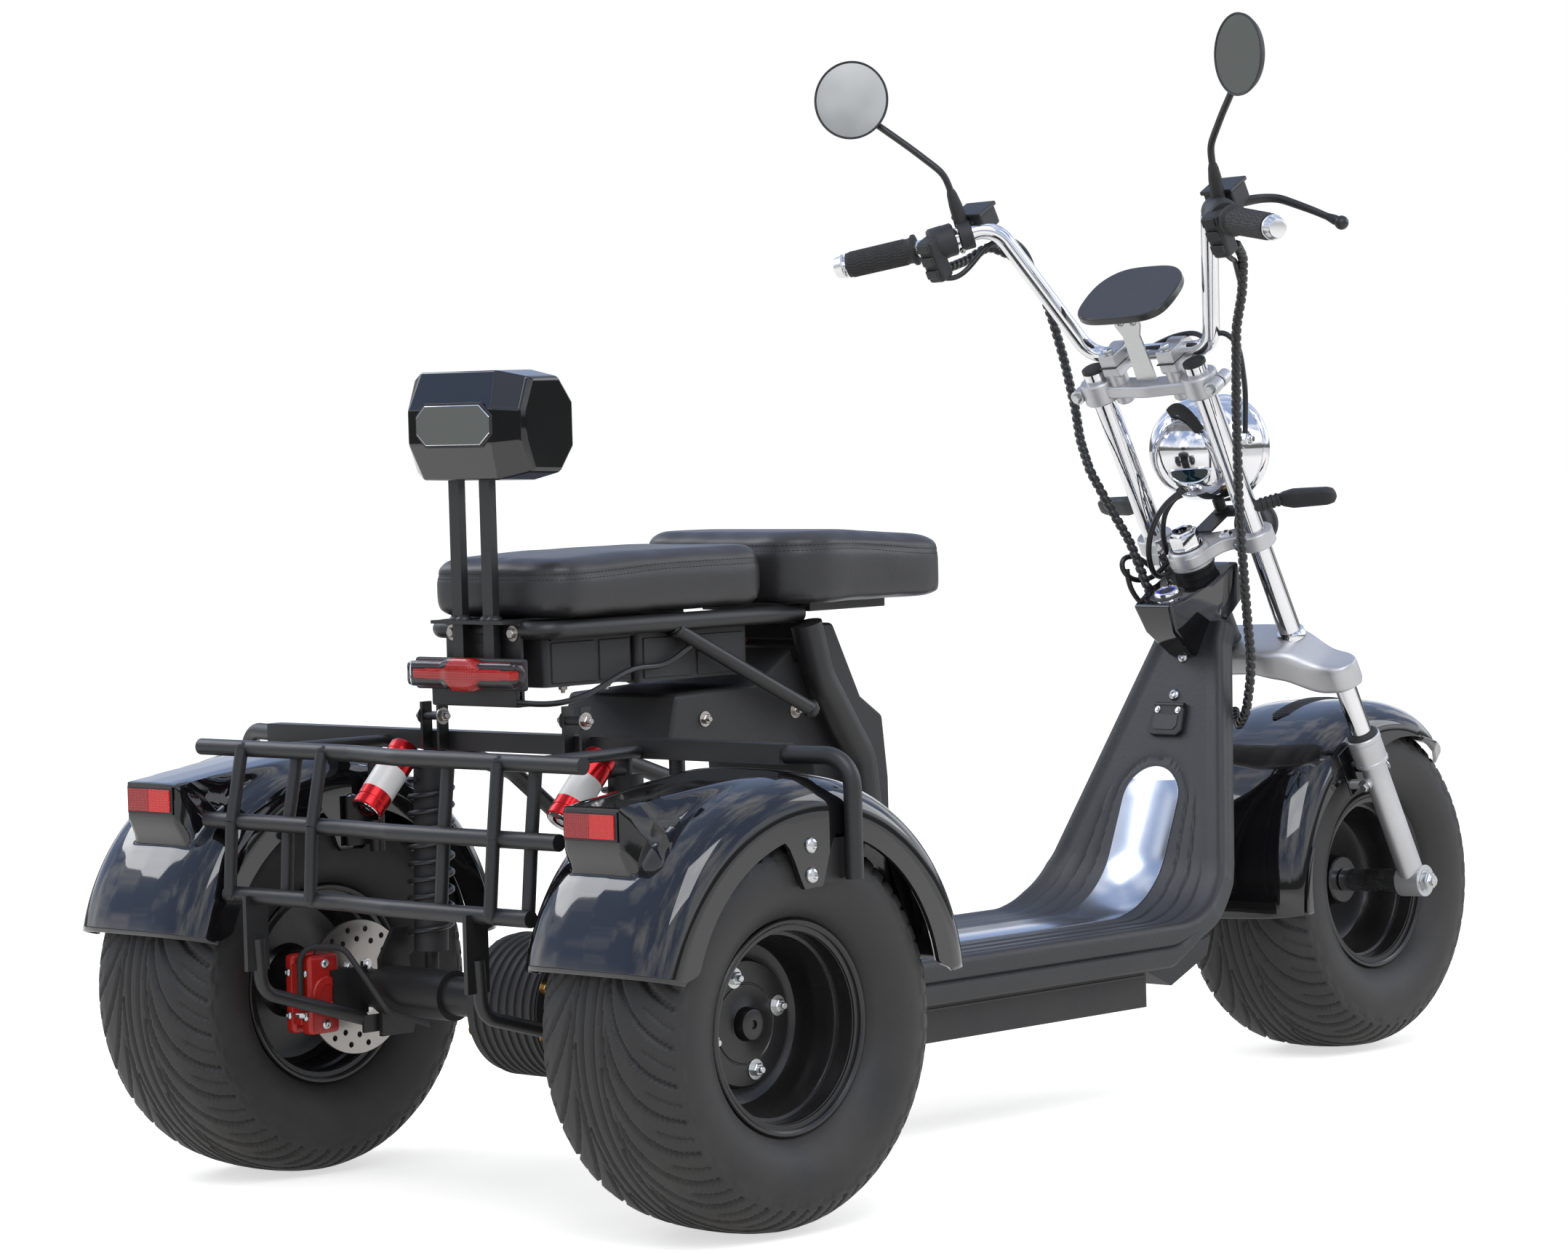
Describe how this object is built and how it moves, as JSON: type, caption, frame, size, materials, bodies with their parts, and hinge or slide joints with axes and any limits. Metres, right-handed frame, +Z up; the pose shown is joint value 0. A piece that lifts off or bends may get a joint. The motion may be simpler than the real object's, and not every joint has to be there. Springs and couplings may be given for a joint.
{
  "type": "electric trike",
  "caption": "Black electric mobility trike with wide tyres, raked chrome fork, padded seats and a tubular rear rack.",
  "frame": {"origin": "on the ground under the middle of the whole part", "axes": "+X forward, +Y to the rider's left, +Z up"},
  "size_m": [1.974, 1.024, 1.3517],
  "materials": {
    "amber": "black stem, amber lens",
    "board": "black textured",
    "box": "matte black",
    "cast": "satin cast",
    "chrome": "polished",
    "cushion": "black grained with stitched seams",
    "frame": "black satin powder coat",
    "gloss": "gloss black",
    "mirror": "silvered",
    "red": "red anodised",
    "redlens": "clear red lens",
    "rim": "black satin",
    "rubber": "matte",
    "steel": "ground",
    "strip": "brushed",
    "tyre": "matte tread rubber"
  },
  "bodies": {
    "chassis": {"axle_housing": "frame", "backrest_bars": "frame", "backrest_shell": "gloss", "backrest_window": "redlens", "battery_box": "box", "brake_caliper": "red", "brake_hose": "rubber", "charge_flap": "box", "cross_bar": "frame", "drive_unit": "box", "floor_strip": "strip", "footboard": "board", "front_cushion": "cushion", "front_skirt": "box", "head_cover": "gloss", "inner_cover": "box", "main_frame": "frame", "rear_cushion": "cushion", "rear_fender_left": "gloss", "rear_fender_right": "gloss", "rear_rack": "frame", "rear_shocks": "box", "reflectors": "redlens", "seat_box": "box", "seat_frame": "frame", "shock_canisters": "red", "start_button": "chrome", "tail_lamp": "redlens"},
    "steering": {"bar_ends": "chrome", "brake_masters": "box", "fork_caps": "box", "fork_sliders": "cast", "fork_tubes": "chrome", "front_axle": "steel", "front_fender": "gloss", "grips": "rubber", "handlebar": "chrome", "headlamp": "chrome", "horn": "box", "indicators": "amber", "lamp_bracket": "frame", "lower_yoke": "cast", "mid_yoke": "cast", "mirror_arms": "box", "mirror_glasses": "mirror", "pad_bracket": "steel", "phone_pad": "gloss", "stem_nut": "chrome", "switch_pods": "box", "top_yoke": "cast"},
    "front_wheel": {"front_tyre": "tyre", "front_rim": "rim"},
    "rear_left_wheel": {"rear_left_tyre": "tyre", "rear_left_rim": "rim", "brake_disc": "steel"},
    "rear_right_wheel": {"rear_right_tyre": "tyre", "rear_right_rim": "rim"}
  },
  "joints": [
    {"name": "steering", "type": "hinge", "parent": "chassis", "child": "steering", "pos_m": [0.73673, 0, 0.21136], "axis": [-0.4617, 0, 0.887], "range_deg": [-42, 34]},
    {"name": "front_wheel", "type": "hinge", "parent": "steering", "child": "front_wheel", "pos_m": [0.76593, 0.0023, 0.22656], "axis": [-0.0619, 0.9976, -0.0322], "continuous": true},
    {"name": "rear_left_wheel", "type": "hinge", "parent": "chassis", "child": "rear_left_wheel", "pos_m": [-0.749, 0.379, 0.225], "axis": [0, 1, 0], "continuous": true},
    {"name": "rear_right_wheel", "type": "hinge", "parent": "chassis", "child": "rear_right_wheel", "pos_m": [-0.749, -0.379, 0.225], "axis": [0, 1, 0], "continuous": true}
  ]
}
